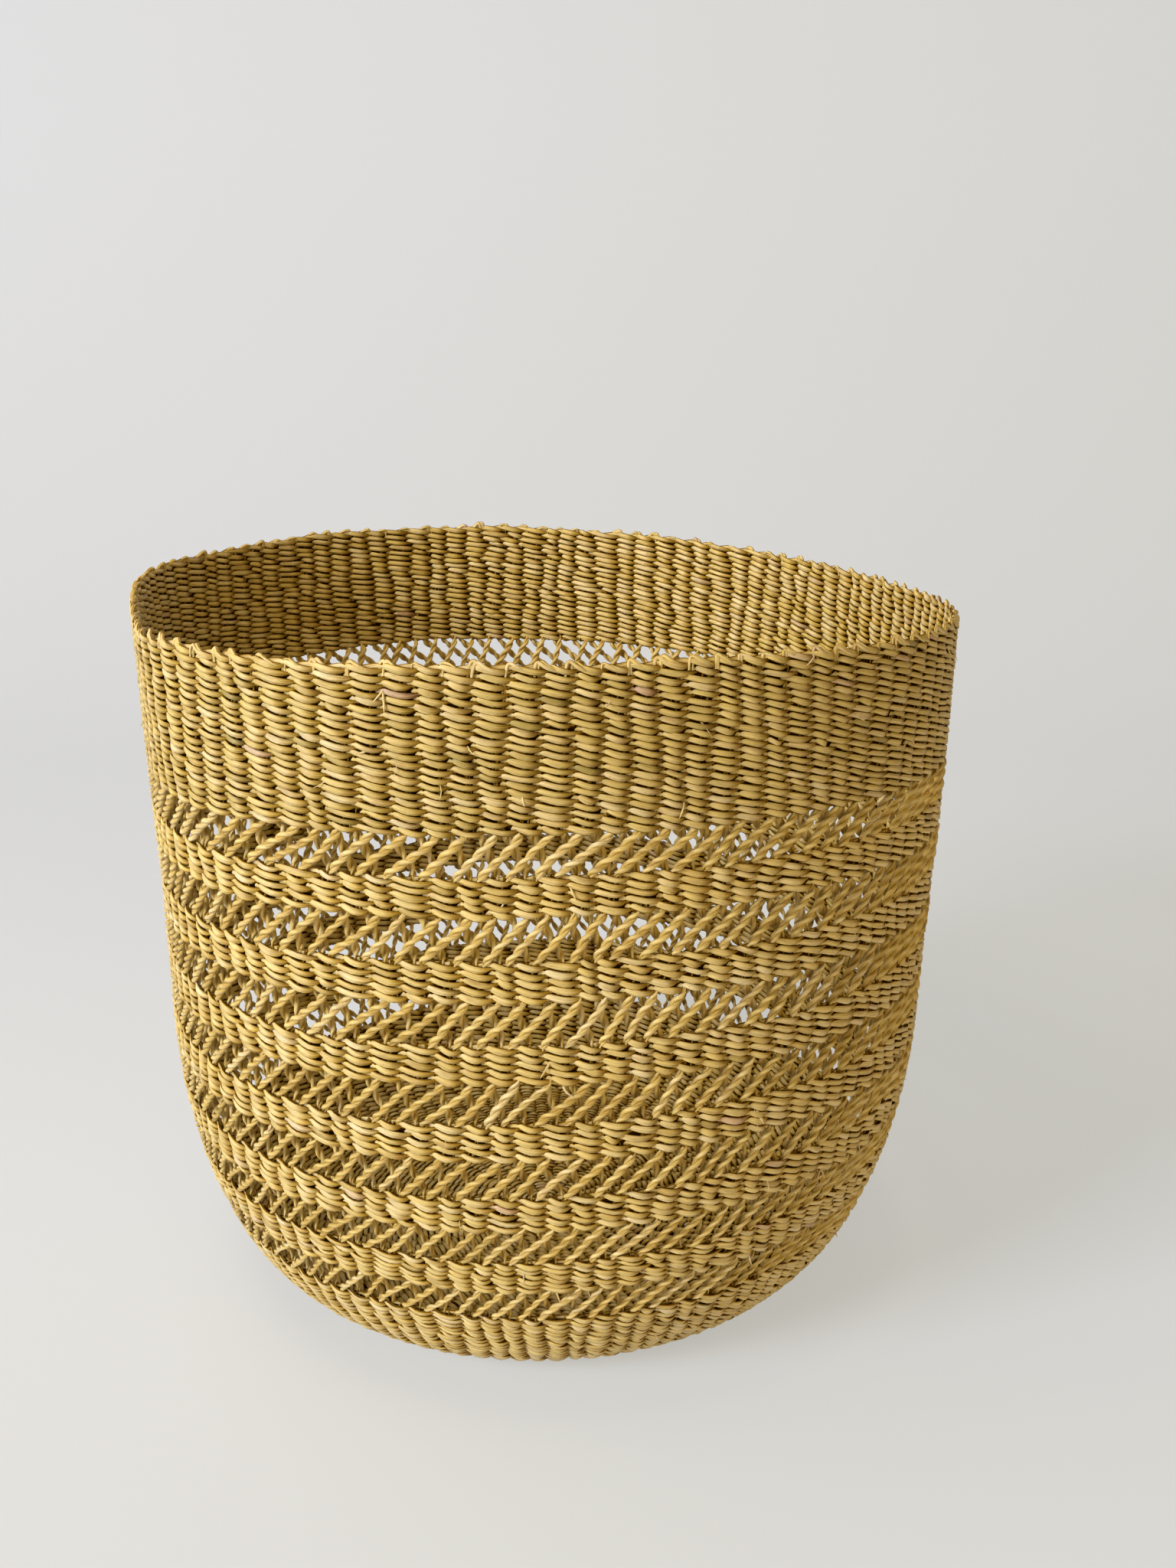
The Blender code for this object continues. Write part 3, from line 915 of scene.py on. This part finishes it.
def border_folds(material):
    """The stake ends, folded over the last row: two plies loop over it and lie down to the right."""
    rng = np.random.default_rng((SEED, SEEDS["folds"]))
    marks = np.linspace(0, len(FOLD_COLUMNS) - 1, FOLD_STEPS)
    ways = [np.interp(marks, np.arange(len(FOLD_COLUMNS)), way)
            for way in (FOLD_COLUMNS, FOLD_HEIGHTS, FOLD_OUTS, FOLD_HALF_WIDTHS)]
    # Corners are rounded by a mean of each point with the two beside it
    ways = [np.concatenate([way[:1], (way[:-2] + 2 * way[1:-1] + way[2:]) / 4, way[-1:]]) for way in ways]
    columns, heights, outs, half_widths = ways
    each = (COLUMNS, 1)
    top = BOUNDS["border"][0] + ROW_PITCH
    size = rng.uniform(*FOLD_SIZES, each)
    shift = rng.normal(0, FOLD_SHIFT, each)
    groups = []
    for from_middle in FOLD_PLIES:
        height = heights * np.where(heights > 0, size * rng.uniform(*FOLD_LOOPS, each), 1)
        column = np.arange(COLUMNS)[:, None] + columns + shift + size * from_middle
        column = column + rng.normal(0, FOLD_PLY_SHIFT, each)
        points, outward = place(column / COLUMNS, top + height, outs + rng.normal(0, FOLD_OUT_SPREAD, each))
        tint = np.clip(FOLD_TINT + rng.normal(0, FOLD_TINT_SPREAD, each), 0, 1)
        half_width = half_widths * np.sqrt(size) * (1 + rng.normal(0, FOLD_UNEVEN, each))
        groups.append(tubes(points, outward, half_width, FOLD_HALF_THICKNESS, tint, False, FOLD_SIDES,
                            edge_painted_shade=FOLD_EDGE_PAINTED_SHADE))
    finish_piece(tube_piece("border_folds", [merged(groups)], material), "border_straw", "rim_border")


def border(material):
    """The last row, a dark strip of painted shade under it, and the stake ends folded over it."""
    first = BOUNDS["border"][0]
    twining("border_twining", (first, first + ROW_PITCH), "border_straw", material, "rim_border",
            SEEDS["border"])
    shade_strip = gap_shade(np.array([first - ROW_PITCH / 2, first + ROW_PITCH / 2]), COLUMNS)
    finish_piece(tube_piece("border_gap_shade", [shade_strip], material), "border_straw", "rim_border")
    border_folds(material)


# The floor's rings, as the number of stakes, and the radius at which each starts and ends
FLOOR_RINGS = ((13, 0.0045, 0.0190), (26, 0.0190, 0.0380), (52, 0.0380, 0.0750), (104, 0.0750, FLOOR_RADIUS))

# The first stakes, crossed at the middle of the floor: their heights go up and down KNOT_TURNS times from
# the first to the last, and each stands a little higher in the middle than at its ends
KNOT_STAKES = 13
KNOT_REACH = 0.0085
KNOT_POINTS = 13
KNOT_HALF_WIDTH = 0.0010
KNOT_HALF_THICKNESS = 0.0007
KNOT_STACK = 0.0008
KNOT_RISE = 0.0004
KNOT_TURNS = 5
KNOT_TINTS = (0.2, 0.7)


def floor_knot(material):
    """Where the first stakes cross, which closes the middle of the floor."""
    rng = np.random.default_rng((SEED, SEEDS["knot"]))
    stake = np.arange(KNOT_STAKES)[:, None]
    heading = math.pi * stake / KNOT_STAKES
    along_it = np.linspace(-KNOT_REACH, KNOT_REACH, KNOT_POINTS)
    height = WALL / 2 - CROSSING_OUT + KNOT_STACK * np.sin(2 * math.pi * KNOT_TURNS * stake / KNOT_STAKES)
    height = height + KNOT_RISE * np.cos(math.pi * along_it / KNOT_REACH)
    points = np.stack([along_it * np.cos(heading), along_it * np.sin(heading), height], -1)
    ways = np.broadcast_to((0.0, 0.0, -1.0), points.shape)
    # Painted shade at the edges of each stake, where it meets the others
    group = tubes(points, ways, KNOT_HALF_WIDTH, KNOT_HALF_THICKNESS, rng.uniform(*KNOT_TINTS, stake.shape),
                  False, STRAW_SIDES, edge_painted_shade=1.0)
    finish_piece(tube_piece("floor_knot", [group], material), "floor_straw", "floor_disc")


def floor(material):
    """The flat floor, where the stakes double each time they have spread far enough apart."""
    floor_knot(material)
    for count, start, end in FLOOR_RINGS:
        twining(f"floor_twining_{count}", (start, end), "floor_straw", material, "floor_disc",
                SEEDS["floor"] + count, columns=count)


def build():
    """The basket, from its floor up.

    The grass of the upper band, border and floor is a little darker than the rest, as painted shade that
    tones down how brightly these parts are lit, and the grass twisted into cord shows its fibres less.
    """
    twined = dried_grass("dried elephant grass, twined", TINT_STOPS, TWINED_DEPTH)
    darkened_for_shade = dried_grass("dried elephant grass, twined and handled", UPPER_STOPS, TWINED_DEPTH)
    cord = dried_grass("dried elephant grass, twisted into cord", TINT_STOPS, CORD_DEPTH)
    floor(darkened_for_shade)
    twining("heel_twining", BOUNDS["heel"], "heel_straw", twined, "heel_band", SEEDS["heel"])
    gripped_stakes("heel_stakes", BOUNDS["heel"], cord, "heel_band", SEEDS["heel_stakes"],
                   LOOSE_ENDS["heel"])
    for ring in range(1, OPEN_RINGS + 1):
        bare_stakes(ring, cord)
        if ring < OPEN_RINGS:
            bounds, node = BOUNDS[f"band_{ring}"], f"twined_band_{ring}"
            twining(f"band_twining_{ring}", bounds, "twined_straw", twined, node, SEEDS["band"] + ring)
            gripped_stakes(f"band_cords_{ring}", bounds, cord, node, SEEDS["band_stakes"] + ring,
                           LOOSE_ENDS["band"])
    twining("upper_twining", BOUNDS["upper"], "twined_straw", darkened_for_shade, "upper_band", SEEDS["upper"])
    gripped_stakes("upper_cords", BOUNDS["upper"], cord, "upper_band", SEEDS["upper_stakes"],
                   LOOSE_ENDS["upper"])
    border(darkened_for_shade)


# Stage, light and camera

FLOOR_REACH = 4.0
SWEEP_START = 0.9
SWEEP_RADIUS = 0.7
SWEEP_STEPS = 16

# Lamps: place, what each is aimed at, side, power in watts and colour
LAMPS = {
    "window": ((-2.7, -1.9, 1.65), (0, 0, 0.15), 1.35, 154, "F9F7FF"),
    "fill": ((1.6, -2.5, 0.70), (0, 0, 0.10), 2.0, 27, "FFD882"),
    "over the mouth": ((-0.28, -0.16, 0.90), (0.05, 0.05, 0.20), 0.35, 2.9, "FFEECC")}
WORLD_LIGHT = "FFE196"
WORLD_STRENGTH = 0.17
WALL_PAINT = "D6D6D0"


def sweep():
    """A pale paper sweep: level under the basket, and curved up behind it."""
    outline = [(-FLOOR_REACH, 0.0), (SWEEP_START, 0.0)]
    for step in range(1, SWEEP_STEPS + 1):
        turn = math.pi / 2 * step / SWEEP_STEPS
        outline.append((SWEEP_START + SWEEP_RADIUS * math.sin(turn), SWEEP_RADIUS * (1 - math.cos(turn))))
    outline.append((SWEEP_START + SWEEP_RADIUS, FLOOR_REACH))
    mesh = bpy.data.meshes.new("paper_sweep")
    points = [(side * FLOOR_REACH, y, z) for y, z in outline for side in (-1, 1)]
    faces = [(2 * i, 2 * i + 1, 2 * i + 3, 2 * i + 2) for i in range(len(outline) - 1)]
    mesh.from_pydata(points, [], faces)
    mesh.shade_smooth()
    mesh.materials.append(white_paper())
    paper = bpy.data.objects.new("paper_sweep", mesh)
    bpy.context.scene.collection.objects.link(paper)


def lamp(name, place_at, aim, side, power, hex_colour):
    """A soft square lamp aimed at a point."""
    data = bpy.data.lights.new(name, "AREA")
    data.shape = "SQUARE"
    data.size = side
    data.energy = power
    data.color = linear(hex_colour)[:3]
    shining = bpy.data.objects.new(name, data)
    shining.visible_camera = False
    bpy.context.scene.collection.objects.link(shining)
    shining.location = place_at
    shining.rotation_euler = (Vector(place_at) - Vector(aim)).to_track_quat("Z", "Y").to_euler()


def light():
    """A window on the left, a weak warm fill, a small lamp over the mouth and light from all round."""
    for name, settings in LAMPS.items():
        lamp(name, *settings)
    world = bpy.data.worlds.new("studio")
    world.use_nodes = True
    tree = world.node_tree
    warm = tree.nodes["Background"]
    warm.inputs["Color"].default_value = linear(WORLD_LIGHT)
    warm.inputs["Strength"].default_value = WORLD_STRENGTH
    # Past the paper the camera sees a pale wall
    wall = add(tree, "ShaderNodeBackground", {"Color": linear(WALL_PAINT), "Strength": 1.0})
    seen = add(tree, "ShaderNodeLightPath").outputs["Is Camera Ray"]
    both = add(tree, "ShaderNodeMixShader", {0: seen, 1: warm.outputs[0], 2: wall.outputs[0]})
    tree.links.new(both.outputs[0], tree.nodes["World Output"].inputs["Surface"])
    bpy.context.scene.world = world
    bpy.context.scene.view_settings.view_transform = "Standard"


def camera():
    """The photographer's camera, at the front of the basket and looking a little down and to the right."""
    data = bpy.data.cameras.new("camera")
    data.sensor_fit = "HORIZONTAL"
    data.sensor_width = SENSOR_WIDTH_MM
    data.lens = FOCAL_LENGTH_PIXELS / PICTURE_WIDTH * SENSOR_WIDTH_MM
    data.clip_end = CAMERA_SEES
    eye = bpy.data.objects.new("camera", data)
    bpy.context.scene.collection.objects.link(eye)
    right = Matrix.Rotation(-CAMERA_RIGHT, 4, "Z")
    down = Matrix.Rotation(math.pi / 2 - CAMERA_DOWN, 4, "X")
    eye.matrix_world = Matrix.Translation((0, -CAMERA_DISTANCE, CAMERA_HEIGHT)) @ right @ down
    bpy.context.scene.camera = eye


camera()
light()
sweep()
build()

bpy.context.view_layer.update()
